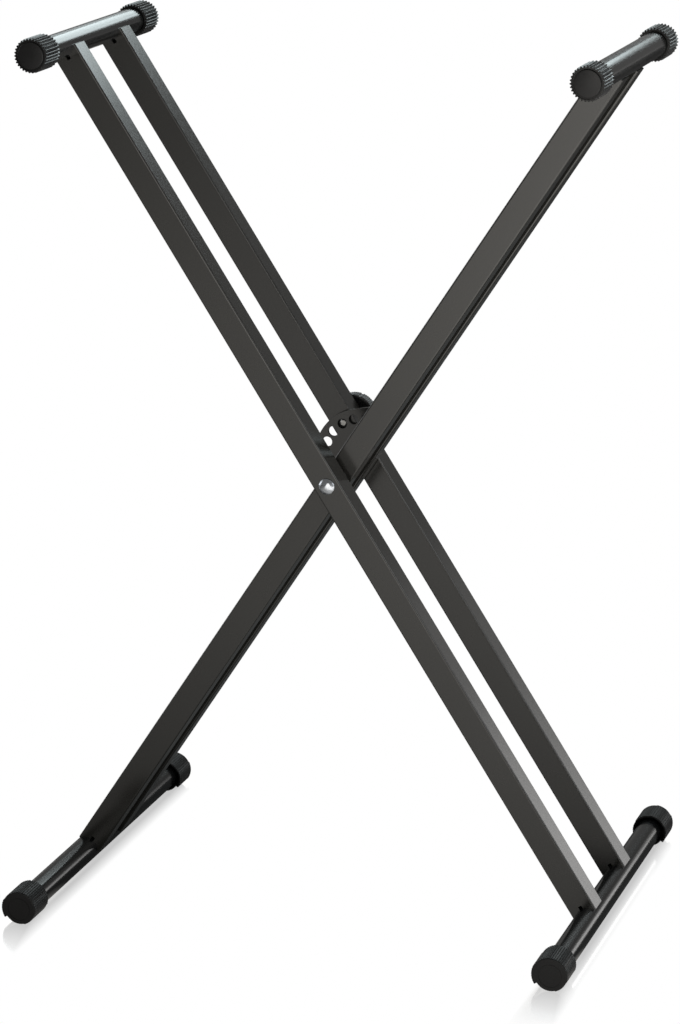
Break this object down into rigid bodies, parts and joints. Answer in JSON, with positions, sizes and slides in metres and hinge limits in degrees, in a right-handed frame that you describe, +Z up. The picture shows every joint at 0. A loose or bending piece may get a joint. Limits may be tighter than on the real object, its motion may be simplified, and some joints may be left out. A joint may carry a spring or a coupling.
{
  "type": "folding keyboard stand",
  "caption": "Black folding X-shaped keyboard stand with doubled square-tube bars, ribbed end caps and a pull-knob lock.",
  "frame": {"origin": "on the floor, midway between the two feet and midway between the front and rear end caps", "axes": "+X across the stand towards the foot of the outer frame, +Y from the pivot bolt's head to the knob at the back, +Z up"},
  "size_m": [0.6664, 0.512, 0.9994],
  "materials": {
    "bar_powder_coat": "satin black powder coat, fine grain",
    "tube_powder_coat": "smooth semi-gloss black powder coat",
    "arm_cap_rubber": "matt black moulded rubber",
    "foot_cap_rubber": "matt black moulded rubber",
    "bright_chrome": "bright chrome plate",
    "zinc_steel": "zinc plated, satin",
    "pin_steel": "ground steel",
    "spring_steel": "oiled spring steel",
    "black_nylon": "matt",
    "knob_plastic": "fine moulded grain"
  },
  "bodies": {
    "outer_frame": {"outer_front_bar": "bar_powder_coat", "outer_rear_bar": "bar_powder_coat", "outer_arm_tube": "tube_powder_coat", "outer_arm_cap_front": "arm_cap_rubber", "outer_arm_cap_rear": "arm_cap_rubber", "outer_foot_tube": "tube_powder_coat", "pivot_bolt": "bright_chrome", "pivot_lock_nut": "zinc_steel", "pivot_washers": "black_nylon", "pivot_crush_sleeves": "zinc_steel", "lock_housing": "zinc_steel", "lock_housing_plug": "zinc_steel", "lock_spring": "spring_steel"},
    "inner_frame": {"inner_front_bar": "bar_powder_coat", "inner_rear_bar": "bar_powder_coat", "inner_arm_tube": "tube_powder_coat", "inner_arm_cap_front": "arm_cap_rubber", "inner_arm_cap_rear": "arm_cap_rubber", "inner_foot_tube": "tube_powder_coat", "pivot_sleeve": "bar_powder_coat", "locking_plate": "bar_powder_coat"},
    "lock_plunger": {"lock_pin": "pin_steel", "lock_knob": "knob_plastic", "knob_screw": "zinc_steel"},
    "outer_front_leveller": {"outer_foot_cap_front": "foot_cap_rubber"},
    "outer_rear_leveller": {"outer_foot_cap_rear": "foot_cap_rubber"},
    "inner_front_leveller": {"inner_foot_cap_front": "foot_cap_rubber"},
    "inner_rear_leveller": {"inner_foot_cap_rear": "foot_cap_rubber"}
  },
  "joints": [
    {"name": "fold", "type": "hinge", "parent": "outer_frame", "child": "inner_frame", "pos_m": [0, 0, 0.49918], "axis": [0, 1, 0], "range_deg": [-55.2, 36.8]},
    {"name": "lock_pull", "type": "slide", "parent": "outer_frame", "child": "lock_plunger", "axis": [0, 1, 0], "range_m": [-0.006, 0.002], "stiffness_N_per_m": 1000, "springref_m": -0.016, "deforming": ["lock_spring"]},
    {"name": "level_outer_front", "type": "hinge", "parent": "outer_frame", "child": "outer_front_leveller", "pos_m": [0.31157, -0.236, 0.0183], "axis": [0, 1, 0], "continuous": true},
    {"name": "level_outer_rear", "type": "hinge", "parent": "outer_frame", "child": "outer_rear_leveller", "pos_m": [0.31157, 0.236, 0.0183], "axis": [0, 1, 0], "continuous": true},
    {"name": "level_inner_front", "type": "hinge", "parent": "inner_frame", "child": "inner_front_leveller", "pos_m": [-0.31157, -0.236, 0.0183], "axis": [0, 1, 0], "continuous": true},
    {"name": "level_inner_rear", "type": "hinge", "parent": "inner_frame", "child": "inner_rear_leveller", "pos_m": [-0.31157, 0.236, 0.0183], "axis": [0, 1, 0], "continuous": true}
  ]
}
